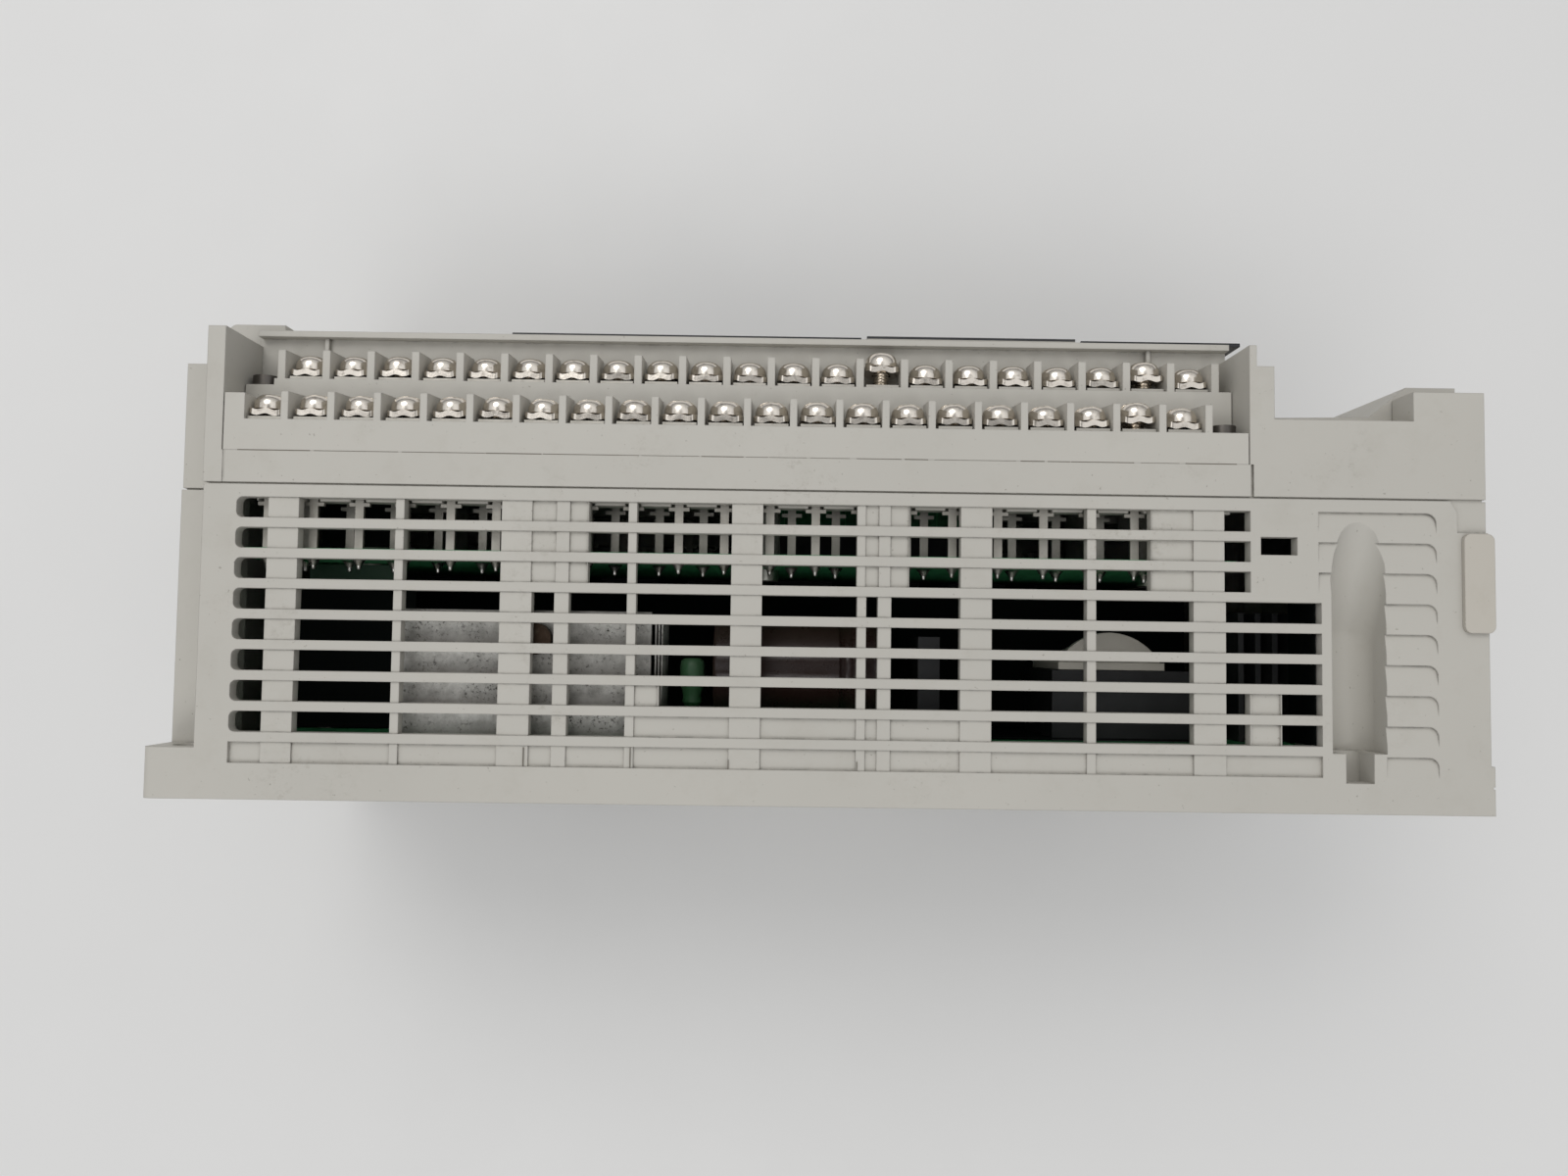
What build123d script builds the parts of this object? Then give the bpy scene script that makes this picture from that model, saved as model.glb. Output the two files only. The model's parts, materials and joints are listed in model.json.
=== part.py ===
from build123d import *
import os

# A compact industrial controller with two rows of screw terminals.
# Frame: +Z is up on the wall, the front faces -Y, the back plane is y = 0, and the
# origin is on the rail centre line.  All values are in millimetres.

# Overall size
WIDTH = 220.0
HEIGHT = 90.0
DEPTH = 86.0
HALF_W = WIDTH / 2
HALF_H = HEIGHT / 2

# Cases
WALL = 2.5
SEAM = -51.7                # plane where the rear case meets the front case
BACK_INNER = -8.0           # inner face of the back plate
LEFT_X = -109.4             # rear case at the controller's left end
RIGHT_X = 109.7             # rear case at its right end, between the corner notches
NOTCH_X = 101.6             # side of the corner notches
NOTCH_Z = 36.0              # floor of the corner notches
EAR_Y = -8.3                # front of the mounting ears

# Mounting
HOLE_Z = 40.0
HOLE_LEFT_X = -88.0
HOLE_RIGHT_X = 105.0
HOLE_R = 2.25
RAIL_HALF = 17.8
RAIL_DEPTH = 5.5
RAIL_LIP = 1.8              # how far the fixed lip and the hooks reach over the rail
RAIL_GAP = 1.3              # groove for the rail's 1 mm edge
HOOK_X = (-50.0, 50.0)
HOOK_TRAVEL = 5.0

# Vent grille
ROW_COUNT = 9
ROW_PITCH = 5.0
ROW_TOP = -49.3
ROW_HEIGHT = 3.4
BAR_STEP = 0.3              # the bars stand this far out of the pillars
BLIND_DEPTH = 0.7

# Screwdriver channel above each left mounting hole
CHANNEL_R = 4.45
CHANNEL_Z = 40.55           # its centre line along the straight part
CHANNEL_KNEE_Y = -28.2      # from here it rises to the surface
CHANNEL_END_Y = -9.8
CHANNEL_RISE = 25.0

# Terminals
PITCH = 7.62
COUNT = 21
LOWER_X = 92.48             # first screw of the outer, lower tier
UPPER_X = 88.79             # first screw of the inner, upper tier
LOWER_Z = 41.3
UPPER_Z = 33.9
LOWER_SEAT = -62.2
UPPER_SEAT = -70.6
TIER_Z = 37.6               # outer face of the upper tier
DEEP_Z = 31.0               # wall behind the upper tier
TROUGH_RIGHT = 98.9
TROUGH_LEFT = -70.3
BLOCK_BACK = -57.0
RAISED_UPPER = {13: 2.0, 19: 1.0}     # loose screws and how far they stand up
RAISED_LOWER = {19: 0.8}

# Screws and contacts
SHANK_R = 1.5
HEAD_R = 2.5
HEAD_H = 2.3
WASHER = 5.6
WASHER_T = 0.9
PLATE_T = 0.6
BLADE_HALF = 0.7
BLADE_T = 0.8
LOWER_BLADE_Z = 41.0
UPPER_BLADE_Z = 34.2

# Boards
IO_FRONT = -41.2
IO_BACK = -39.6
CPU_FRONT = -74.0
CPU_BACK = -72.4
POWER_FRONT = -10.4
POWER_BACK = -8.8
IO_POSTS = [(x, z) for x in (80.0, 10.0, -60.0) for z in (-26.5, 26.5)]
CPU_POSTS = [(x, z) for x in (84.0, -60.0) for z in (-22.0, 22.0)]
POWER_POSTS = [(x, z) for x in (88.0, -70.0) for z in (-24.0, 24.0)]

# Front
PANEL_Y = -80.05
PANEL_SKIN = -78.6
PANEL_Z = 31.5
LEFT_FACE = -64.6
LEFT_SKIN = -62.4
HINGE_Y = -70.9
HINGE_Z = 42.9
PIN_R = 1.15
CLEAR = 0.1

os.makedirs("parts", exist_ok=True)


def block(x, y, z):
    """A box between two x, two y and two z values."""
    low = [min(pair) for pair in (x, y, z)]
    high = [max(pair) for pair in (x, y, z)]
    centre = [(a + b) / 2 for a, b in zip(low, high)]
    size = [b - a for a, b in zip(low, high)]
    return Pos(*centre) * Box(*size)


def rod_y(x, z, radius, y0, y1):
    """A round rod along Y."""
    return Pos(x, (y0 + y1) / 2, z) * Rot(90, 0, 0) * Cylinder(radius, abs(y1 - y0))


def rod_x(y, z, radius, x0, x1):
    """A round rod along X."""
    return Pos((x0 + x1) / 2, y, z) * Rot(0, 90, 0) * Cylinder(radius, abs(x1 - x0))


def rod_z(x, y, radius, z0, z1):
    """A round rod along Z."""
    return Pos(x, y, (z0 + z1) / 2) * Cylinder(radius, abs(z1 - z0))


def prism_x(points, x0, x1):
    """A prism along X whose section is given as (y, z) points."""
    face = Plane.YZ.offset(x0) * Polygon(*points, align=None)
    return extrude(face, x1 - x0, dir=(1, 0, 0))


def prism_z(points, z0, z1):
    """A prism along Z whose section is given as (x, y) points."""
    face = Plane.XY.offset(z0) * Polygon(*points, align=None)
    return extrude(face, z1 - z0, dir=(0, 0, 1))


def flipped(shape):
    """The same piece on the other long side."""
    return mirror(shape, about=Plane.XY)


def on_both_sides(shapes):
    return shapes + [flipped(shape) for shape in shapes]


def lower_positions():
    return [LOWER_X - PITCH * i for i in range(COUNT)]


def upper_positions():
    return [UPPER_X - PITCH * i for i in range(COUNT)]


# ---------------------------------------------------------------- rear case

# Cells of the grille as (low x, high x).  Every row has the same pillars.
RIGHT_CELLS = [(91.0, 96.1), (70.1, 86.0), (52.7, 68.7)]
UPPER_OPEN = RIGHT_CELLS + [(31.9, 38.4), (14.9, 30.5), (-5.7, 9.8), (-22.75, -14.3),
                            (-43.5, -27.9), (-54.0, -45.0), (-70.3, -66.1)]
UPPER_BLIND = [(43.7, 47.7), (38.5, 41.5), (-9.3, -7.1), (-14.2, -11.2), (-61.0, -54.1)]
MIDDLE_OPEN = RIGHT_CELLS + [(43.8, 47.5), (31.9, 41.4), (14.9, 30.4), (-5.8, 9.8),
                             (-9.2, -7.3), (-22.75, -11.4), (-43.5, -27.9),
                             (-61.0, -45.0), (-81.9, -66.3)]
SEVENTH_OPEN = [cell for cell in MIDDLE_OPEN if cell not in ((14.9, 30.4), (-81.9, -66.3))]
SEVENTH_OPEN = SEVENTH_OPEN + [(14.9, 26.4), (-70.2, -66.3), (-81.9, -75.4)]
SEVENTH_BLIND = [(26.6, 30.4), (-75.2, -70.4)]
EIGHTH_OPEN = RIGHT_CELLS + [(43.8, 47.5), (31.9, 41.4), (-43.5, -27.9), (-61.0, -45.0),
                             (-70.2, -66.3), (-81.9, -75.4)]
EIGHTH_BLIND = [(14.9, 30.4), (-5.8, 9.8), (-9.2, -7.3), (-22.75, -11.4), (-75.2, -70.4)]
NINTH_BLIND = [cell for cell in MIDDLE_OPEN]
ROWS = ([(UPPER_OPEN, UPPER_BLIND)] * 3 + [(MIDDLE_OPEN, [])] * 3
        + [(SEVENTH_OPEN, SEVENTH_BLIND), (EIGHTH_OPEN, EIGHTH_BLIND), ([], NINTH_BLIND)])


def grille_cuts():
    """Everything cut from the top wall's grille."""
    outside = HALF_H + 1.0
    cuts = []
    for row, (open_cells, blind_cells) in enumerate(ROWS):
        y = (ROW_TOP + ROW_PITCH * row, ROW_TOP + ROW_PITCH * row + ROW_HEIGHT)
        row_end = -70.3 if row < 3 else -81.9
        cuts.append(rounded_end((96.1, row_end), y, (HALF_H - BAR_STEP, outside)))
        for cell in open_cells:
            shape = rounded_end if cell == RIGHT_CELLS[0] else block
            cuts.append(shape(cell, y, (HALF_H - WALL - 1.0, outside)))
        for cell in blind_cells:
            cuts.append(block(cell, y, (HALF_H - BLIND_DEPTH, outside)))
        cuts.append(decorative_cell(y[0], -81.5 if row < 3 else -92.4))
    cuts.append(block((-78.0, -72.0), (-45.05, -42.1), (HALF_H - WALL - 1.0, outside)))
    return cuts


def rounded_end(x, y, z):
    """A block whose two corners at the high x end are rounded."""
    shape = block(x, y, z)
    return fillet(shape.edges().filter_by(Axis.Z).group_by(Axis.X)[-1], 1.0)


def decorative_cell(y0, x1):
    """A cell that fades from a step to nothing, with one rounded corner."""
    cell = prism_x([(y0, HALF_H - 0.55), (y0, HALF_H + 1), (y0 + ROW_HEIGHT, HALF_H + 1),
                    (y0 + ROW_HEIGHT, HALF_H + 0.02)], -100.9, x1)
    corner = cell.edges().filter_by(Axis.Z).sort_by(lambda e: e.center().X + e.center().Y)[0]
    return fillet(corner, 1.6)


def channel():
    """Round-bottomed groove a screwdriver runs along to reach the left mounting screw."""
    half = (-CHANNEL_R, CHANNEL_R)
    straight = rod_y(0, CHANNEL_Z, CHANNEL_R, CHANNEL_END_Y, CHANNEL_KNEE_Y)
    straight += block(half, (CHANNEL_END_Y, CHANNEL_KNEE_Y), (CHANNEL_Z, HALF_H + 5))
    rising = Cylinder(CHANNEL_R, 26.0, align=(Align.CENTER, Align.CENTER, Align.MIN))
    rising += block(half, (0, 20), (0, 26.0))
    rising += Sphere(CHANNEL_R)
    rising = Pos(0, CHANNEL_KNEE_Y, CHANNEL_Z) * Rot(90 - CHANNEL_RISE, 0, 0) * rising
    return Pos(HOLE_LEFT_X, 0, 0) * (straight + rising)


def hook_channel(x):
    """T-slot in the back plate for one rail hook."""
    wide = block((x - 8.2, x + 8.2), (-4.45, -2.55), (-HALF_H - 1, -14.0))
    narrow = block((x - 6.2, x + 6.2), (-2.7, 1), (-HALF_H - 1, -14.0))
    return [wide, narrow]


def adapter_slot():
    """T-slot that one adapter hook slides in, with the shallow step in front of it."""
    foot = block((-108.4, -104.8), (-41.0, -31.0), (40.9, 43.0))
    stem = block((-107.6, -105.8), (-40.6, -31.6), (42.9, HALF_H + 1))
    step = prism_z([(-103.0, SEAM - 0.1), (-104.4, -49.6), (-104.4, -46.2), (-111, -46.2),
                    (-111, SEAM - 0.1)], HALF_H - 0.6, HALF_H + 1)
    return [foot, stem, step]


def seam_groove():
    """Narrow step round the front edge that shows as a line between the cases."""
    ring = block((-HALF_W, HALF_W), (SEAM - 1, SEAM + 0.3), (-HALF_H - 1, HALF_H + 1))
    depth = 0.6
    return ring - [
        block((LEFT_X + depth, NOTCH_X - depth), (SEAM - 2, 0), (-HALF_H + depth, HALF_H - depth)),
        block((0, RIGHT_X - depth), (SEAM - 2, 0), (-NOTCH_Z + depth, NOTCH_Z - depth)),
    ]


def rear_case():
    body = block((LEFT_X, NOTCH_X), (SEAM, 0), (-HALF_H, HALF_H))
    body += block((NOTCH_X - 1, RIGHT_X), (SEAM, 0), (-NOTCH_Z, NOTCH_Z))
    ear = block((NOTCH_X - 1, HALF_W), (EAR_Y, 0), (-HALF_H, HALF_H))
    ear_corners = ear.edges().filter_by(Axis.Y).group_by(Axis.X)[-1]
    body += fillet(ear_corners, 1.5)
    body += block((-HALF_W, LEFT_X + 1), (BACK_INNER, 0), (-HALF_H, HALF_H))
    cavity = [
        block((LEFT_X + WALL, NOTCH_X - WALL), (SEAM - 1, BACK_INNER),
              (-HALF_H + WALL, HALF_H - WALL)),
        block((0, RIGHT_X - WALL), (SEAM - 1, BACK_INNER), (-NOTCH_Z + WALL, NOTCH_Z - WALL)),
    ]
    body -= cavity

    pocket_wall = block((-94.4, -82.05), (-50.2, BACK_INNER + 0.5), (34.3, HALF_H - WALL + 0.5))
    hook_box = block((LEFT_X + 1, -102.6), (SEAM, -28.0), (39.6, HALF_H - WALL + 0.5))
    body += on_both_sides([pocket_wall, hook_box])
    body += [rod_y(x, z, 3.5, BACK_INNER + 0.5, POWER_BACK) for x, z in POWER_POSTS]

    cuts = grille_cuts() + [channel()] + adapter_slot()
    cuts.append(rod_y(HOLE_LEFT_X, HOLE_Z, HOLE_R, -12, 1))
    cuts.append(block((HOLE_LEFT_X - 2.3, HOLE_LEFT_X + 2.3), (CHANNEL_END_Y - 1, -5.0),
                      (HOLE_Z, HALF_H + 1)))
    cuts.append(rod_y(HOLE_RIGHT_X, HOLE_Z, HOLE_R, EAR_Y - 1, 1))
    cuts.append(block((-HALF_W - 1, -HALF_W + 0.3), (-4.7, -4.3), (HALF_H - 0.6, HALF_H + 1)))
    body -= on_both_sides(cuts)
    body -= seam_groove()

    rail = [
        block((-HALF_W - 1, HALF_W + 1), (-RAIL_DEPTH, 1), (-RAIL_HALF, RAIL_HALF - RAIL_LIP)),
        block((-HALF_W - 1, HALF_W + 1), (-RAIL_DEPTH, -RAIL_DEPTH + RAIL_GAP),
              (RAIL_HALF - RAIL_LIP - 1, RAIL_HALF)),
    ]
    for x in HOOK_X:
        rail += hook_channel(x)
    for x in (-50, -30, 30, 50, 70):
        rail.append(block((x - 8.5, x + 8.5), (-5.0, 1), (22.0, 41.5)))
    for x in (-30, 30, 70):
        rail.append(block((x - 8.5, x + 8.5), (-5.0, 1), (-41.5, -22.0)))
    rail += [rod_y(x, z, 1.25, -3.5, POWER_BACK - 1) for x, z in POWER_POSTS]
    return body - rail


# --------------------------------------------------------------- front case

LEFT_WINDOWS = [(7.5, 35.5), (-36.0, 3.0)]
INDICATOR_WINDOWS = [((10.0, 48.0), (16.0, 25.0)), ((10.0, 48.0), (-25.0, -16.0)),
                     ((-57.0, -50.0), (-12.0, 12.0))]


def front_solids():
    """Outer shape of the front case."""
    central = block((-71.5, TROUGH_RIGHT + 0.5), (SEAM, PANEL_Y), (-DEEP_Z, DEEP_Z))
    solids = [
        block((-71.5, TROUGH_RIGHT), (-79.0, PANEL_Y), (-33.0, 33.0)),
        block((-71.5, 101.8), (SEAM, BLOCK_BACK), (-HALF_H, HALF_H)),
        block((-109.1, -71.4), (SEAM, LEFT_FACE), (-HALF_H, HALF_H)),
        block((101.0, 109.5), (SEAM, -73.25), (-NOTCH_Z, NOTCH_Z)),
        block((TROUGH_RIGHT, 107.9), (SEAM, -75.6), (-DEEP_Z - 1.5, DEEP_Z + 1.5)),
    ]
    sides = [
        block((TROUGH_RIGHT, 101.8), (SEAM, -77.6), (30.6, HALF_H)),
        block((-71.5, TROUGH_LEFT), (SEAM, -76.9), (30.6, HALF_H)),
        block((-74.4, -71.4), (SEAM, -73.4), (20.0, HALF_H)),
        block((-109.1, -97.4), (LEFT_FACE + 1, -69.45), (38.2, HALF_H)),
        block((86.9, 87.6), (-76.2, -79.2), (DEEP_Z - 0.5, DEEP_Z + 1.0)),
        block((-57.9, -57.2), (-76.2, -79.2), (DEEP_Z - 0.5, DEEP_Z + 1.0)),
        block((-68.0, 94.0), (-55.5, -49.0), (38.6, 42.2)),
    ]
    return central + solids + on_both_sides(sides)


def front_case():
    body = front_solids()
    inside = SEAM + 5
    hollow = [
        block((-69.5, 94.0), (inside, PANEL_SKIN), (-29.0, 29.0)),
        block((93.0, 105.0), (inside, -73.6), (-29.0, 29.0)),
        block((103.8, 107.2), (inside, -71.2), (-34.0, 34.0)),
        block((-107.0, -73.5), (inside, LEFT_SKIN), (-42.5, 42.5)),
        block((-74.0, -69.0), (inside, -60.0), (-28.0, 28.0)),
        block((95.5, 102.5), (-76.0, -82.0), (-29.4, 29.4)),
    ]
    wells = [
        block((-69.5, 97.5), (SEAM + 0.01, -54.9), (28.0, 38.6)),
        block((-69.5, 97.5), (SEAM + 0.01, -54.9), (42.2, 43.0)),
        block((-66.0, 91.5), (-54.0, -58.0), (UPPER_BLADE_Z - 0.8, UPPER_BLADE_Z + 0.8)),
        block((-70.9, -70.45), (SEAM + 1, BLOCK_BACK - 0.01), (HALF_H - 0.6, HALF_H + 1)),
        block((98.4, 98.7), (SEAM + 1, BLOCK_BACK - 0.01), (HALF_H - 0.12, HALF_H + 1)),
    ]
    for x in lower_positions():
        wells.append(block((x - 1.3, x + 1.3), (-58.0, -48.5), (39.9, 42.3)))
    wells += [rod_y(x, z, 1.35, -50.0, -58.0) for x, z in FIXING_HOLES]
    body -= hollow + on_both_sides(wells)
    body -= [rod_x(HINGE_Y, -HINGE_Z, PIN_R + CLEAR, -72.5, -69.0),
             rod_x(HINGE_Y, -HINGE_Z, PIN_R + CLEAR, TROUGH_RIGHT - 1, 101.0)]

    posts = [rod_y(x, z, 3.0, IO_FRONT, -60.0) for x, z in IO_POSTS]
    posts += [rod_y(x, z, 3.0, CPU_FRONT, PANEL_SKIN - 0.5) for x, z in CPU_POSTS]
    body += posts
    holes = [rod_y(x, z, 1.3, IO_FRONT + 1, -49.0) for x, z in IO_POSTS]
    holes += [rod_y(x, z, 1.3, CPU_FRONT + 1, -78.0) for x, z in CPU_POSTS]
    for z in LEFT_WINDOWS:
        holes.append(block((-77.0, -104.0), (LEFT_SKIN + 1, LEFT_FACE - 1), z))
    for x, z in INDICATOR_WINDOWS:
        holes.append(block((x[0] + 1, x[1] - 1), (PANEL_SKIN + 1, PANEL_Y - 1),
                           (z[0] + 1, z[1] - 1)))
    holes.append(block((97.6, 104.4), (-72.0, -77.0), (-22.2, 22.2)))
    return body - holes


# ---------------------------------------------------------- terminal blocks

FIXING_RIGHT = (96.3, 35.0)
FIXING_LEFT = (-67.4, 40.5)
FIXING_HOLES = [FIXING_RIGHT, FIXING_LEFT]


def terminal_block():
    """The two-tier screw block of the top side."""
    right = TROUGH_RIGHT - 0.2
    left = TROUGH_LEFT + 0.2
    inner = DEEP_Z + 0.1
    body = block((left, right), (LOWER_SEAT, BLOCK_BACK), (inner, HALF_H))
    body += block((left, right), (UPPER_SEAT, LOWER_SEAT + 1), (inner, TIER_Z))
    body += block((95.4, right), (-66.5, LOWER_SEAT + 1), (TIER_Z - 1, HALF_H))
    body -= block((93.9, right + 1), (-69.5, UPPER_SEAT - 1), (inner - 1, TIER_Z + 1))
    ribs = []
    for i in range(COUNT):
        x = 88.85 - PITCH * i
        ribs.append(prism_x([(-61.3, TIER_Z - 1), (-61.3, HALF_H), (-66.8, HALF_H),
                             (-67.6, TIER_Z - 1)], x - 0.6, x + 0.6))
    for i in range(COUNT + 1):
        x = 92.7 - PITCH * i
        ribs.append(prism_x([(UPPER_SEAT + 1, inner), (UPPER_SEAT + 1, TIER_Z),
                             (-75.5, TIER_Z), (-75.9, inner)], x - 0.65, x + 0.65))
    body += ribs
    cuts = []
    for x in lower_positions():
        cuts.append(block((x - 1.7, x + 1.7), (LOWER_SEAT - 0.01, BLOCK_BACK + 1), (38.7, 43.3)))
    for x in upper_positions():
        cuts.append(block((x - 1.7, x + 1.7), (UPPER_SEAT - 0.01, BLOCK_BACK + 1), (31.9, 36.7)))
    cuts += [rod_y(x, z, 1.35, -75.0, BLOCK_BACK + 1) for x, z in FIXING_HOLES]
    return body - cuts


def terminal_screw(x, seat, z, raised=0.0):
    """Pan-head screw standing on its washer."""
    under_head = seat - PLATE_T - WASHER_T - raised
    head = rod_y(x, z, HEAD_R, under_head, under_head - HEAD_H)
    head = fillet(head.edges().sort_by(Axis.Y)[0], 1.6)
    return head + rod_y(x, z, SHANK_R, under_head + 4.6, under_head - 0.5)


def washer(x, seat, z, raised=0.0):
    """Square saddle washer."""
    top = seat - PLATE_T - raised
    plate = block((x - WASHER / 2, x + WASHER / 2), (top, top - WASHER_T),
                  (z - WASHER / 2, z + WASHER / 2))
    return plate - rod_y(x, z, SHANK_R + 0.1, top + 1, top - 2)


def contact(x, seat, z, leg_z, blade_z):
    """Tapped plate under a screw, with a leg that ends in the board's blade."""
    half = WASHER / 2
    plate = block((x - half, x + half), (seat, seat - PLATE_T), (z - half, z + half))
    plate -= rod_y(x, z, SHANK_R + 0.05, seat + 1, seat - 2)
    leg_end = BLOCK_BACK - 0.35
    leg = block((x - 1.5, x + 1.5), (seat - 0.3, leg_end), (leg_z, leg_z + 0.7))
    foot_z = (min(leg_z, blade_z - BLADE_T / 2), max(leg_z, blade_z) + BLADE_T / 2)
    foot = block((x - 1.5, x + 1.5), (leg_end - 0.6, leg_end), foot_z)
    blade_sides = (blade_z - BLADE_T / 2, blade_z + BLADE_T / 2)
    blade = block((x - BLADE_HALF, x + BLADE_HALF), (leg_end - 0.3, IO_BACK), blade_sides)
    shoulder = block((x - 1.7, x + 1.7), (-48.9, -48.3), blade_sides)
    return plate + leg + foot + blade + shoulder


def solder_cone(x, z):
    cone = Cone(1.4, 0.5, 1.4)
    return Pos(x, IO_BACK + 0.7, z) * Rot(-90, 0, 0) * cone


def fixing_screw(x, z, seat):
    head = rod_y(x, z, 2.2, seat, seat - 1.8)
    return head + rod_y(x, z, 1.25, seat - 0.5, -53.0)


def top_terminals():
    """Lists of the loose pieces of the top side's terminals."""
    groups = {"lower_screws": [], "upper_screws": [], "lower_washers": [], "upper_washers": [],
              "lower_contacts": [], "upper_contacts": [], "solder_joints": []}
    for i, x in enumerate(lower_positions()):
        up = RAISED_LOWER.get(i, 0.0)
        groups["lower_screws"].append(terminal_screw(x, LOWER_SEAT, LOWER_Z, up))
        groups["lower_washers"].append(washer(x, LOWER_SEAT, LOWER_Z, up))
        groups["lower_contacts"].append(contact(x, LOWER_SEAT, LOWER_Z, 38.9, LOWER_BLADE_Z))
        groups["solder_joints"].append(solder_cone(x, LOWER_BLADE_Z - 0.2))
    for i, x in enumerate(upper_positions()):
        up = RAISED_UPPER.get(i, 0.0)
        groups["upper_screws"].append(terminal_screw(x, UPPER_SEAT, UPPER_Z, up))
        groups["upper_washers"].append(washer(x, UPPER_SEAT, UPPER_Z, up))
        groups["upper_contacts"].append(contact(x, UPPER_SEAT, UPPER_Z, 35.6, UPPER_BLADE_Z))
        groups["solder_joints"].append(solder_cone(x, UPPER_BLADE_Z))
    return groups


# ------------------------------------------------------------ terminal cover

def bottom_terminal_cover():
    """Hinged flap over the bottom terminals, shown closed."""
    left = TROUGH_LEFT + 0.3
    right = TROUGH_RIGHT - 0.3
    flap = prism_x([(-69.4, -HALF_H), (-78.0, -HALF_H), (-78.9, -44.1), (-78.9, -33.5),
                    (-77.5, -33.5), (-77.5, -43.6), (-69.4, -43.6)], left, right)
    for x0, x1 in ((left, left + 1.2), (right - 1.2, right)):
        flap += block((x0, x1), (-72.4, -69.4), (-43.8, -41.7))
    flap += rod_x(HINGE_Y, -HINGE_Z, PIN_R, left + 0.5, TROUGH_LEFT - 0.9)
    flap += rod_x(HINGE_Y, -HINGE_Z, PIN_R, right - 0.5, TROUGH_RIGHT + 1.8)
    grips = [block((x - 9, x + 9), (-79.5, -78.2), (-36.5, -35.3)) for x in (-40.0, 14.3, 68.0)]
    return flap + grips


# -------------------------------------------------------- boards and insides

def io_board():
    board = block((-69.0, 96.5), (IO_FRONT, IO_BACK), (-42.1, 42.1))
    cuts = []
    for x in lower_positions():
        cuts.append(block((x - 0.9, x + 0.9), (IO_FRONT - 1, IO_BACK + 1),
                          (LOWER_BLADE_Z - 0.5, LOWER_BLADE_Z + 0.5)))
    for x in upper_positions():
        cuts.append(block((x - 0.9, x + 0.9), (IO_FRONT - 1, IO_BACK + 1),
                          (UPPER_BLADE_Z - 0.5, UPPER_BLADE_Z + 0.5)))
    cuts = on_both_sides(cuts)
    cuts += [rod_y(x, z, 1.7, IO_FRONT - 1, IO_BACK + 1) for x, z in IO_POSTS]
    return board - cuts


def cpu_board():
    board = block((-66.0, 90.0), (CPU_FRONT, CPU_BACK), (-27.5, 27.5))
    return board - [rod_y(x, z, 1.7, CPU_FRONT - 1, CPU_BACK + 1) for x, z in CPU_POSTS]


def power_board():
    board = block((-80.5, 95.0), (POWER_FRONT, POWER_BACK), (-41.0, 41.5))
    board += block((-88.5, -80.0), (POWER_FRONT, POWER_BACK), (-33.5, 33.5))
    return board - [rod_y(x, z, 1.7, POWER_FRONT - 1, POWER_BACK + 1) for x, z in POWER_POSTS]


def board_screw(x, z, head_y, length):
    """Pan-head screw entering towards the front, or the back if length is positive."""
    step = 2.0 if length < 0 else -2.0
    overlap = 0.3 if length < 0 else -0.3
    head = rod_y(x, z, 2.8, head_y, head_y + step)
    return head + rod_y(x, z, 1.2, head_y + overlap, head_y + length)


def header_sockets():
    """Board-edge sockets that hold the link board, one on each board."""
    sockets = []
    for y0, y1 in ((IO_FRONT, IO_FRONT - 8.0), (CPU_BACK, CPU_BACK + 8.0)):
        shell = block((-32.0, 12.0), (y0, y1), (-3.0, 3.0))
        sockets.append(shell - block((-30.1, 10.1), (y0, y1 - 9 if y1 < y0 else y1 + 9),
                                     (-0.9, 0.9)))
    return sockets


TRANSISTOR_X = (36.0, 47.3, 60.0)
SINK_SCREW = (47.3, -26.65)


def heat_sink():
    plate = block((28.3, 70.5), (-31.4, POWER_FRONT), (38.6, 40.1))
    foot = block((28.3, 70.5), (POWER_FRONT - 1.5, POWER_FRONT), (26.0, 38.7))
    foot -= [block((x - 3.4, x + 3.4), (-12.5, -10.0), (34.8, 37.0)) for x in TRANSISTOR_X]
    plate += foot
    return plate - rod_z(*SINK_SCREW, 1.6, 38.0, 41.0)


def heat_sink_screw():
    return rod_z(*SINK_SCREW, 2.6, 40.1, 42.0) + rod_z(*SINK_SCREW, 1.5, 35.6, 40.3)


def power_transistors():
    """Three transistors clamped on the heat sink."""
    pieces = []
    for x in TRANSISTOR_X:
        body = block((x - 5, x + 5), (-30.5, -18.5), (34.2, 38.6))
        body += [block((x + d - 0.5, x + d + 0.5), (-19.0, POWER_FRONT), (35.6, 36.2))
                 for d in (-2.54, 0, 2.54)]
        if x == SINK_SCREW[0]:
            body -= rod_z(*SINK_SCREW, 1.6, 30.0, 41.0)
        pieces.append(body)
    return pieces


def main_capacitor():
    can = rod_x(-22.4, 28.6, 9.0, -10.1, 18.1)
    groove = Pos(-7.0, -22.4, 28.6) * Rot(0, 90, 0) * Torus(9.6, 1.1)
    return can - groove


def transformer_bobbin():
    winding = rod_z(-51.0, -19.05, 8.2, 14.0, 29.6)
    winding += rod_z(-51.0, -19.05, 10.15, 29.5, 31.0)
    winding &= block((-65, -37), (-30, -23.0), (10, 32))
    return winding + block((-60.0, -41.6), (-24.0, -22.7), (12.0, 33.0))


def finned_heat_sink():
    sink = block((-87.0, -74.0), (-33.0, POWER_FRONT), (10.0, 12.0))
    for i in range(5):
        x = -86.5 + 3.0 * i
        sink += block((x - 0.5, x + 0.5), (-33.0, POWER_FRONT), (11.5, 30.0))
    return sink


def output_relays():
    relays = []
    for i in range(8):
        x = -52.0 + 18.0 * i
        relays.append(block((x - 6, x + 6), (IO_BACK, IO_BACK + 12.0), (-22.0, -7.0)))
    return relays


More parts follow.
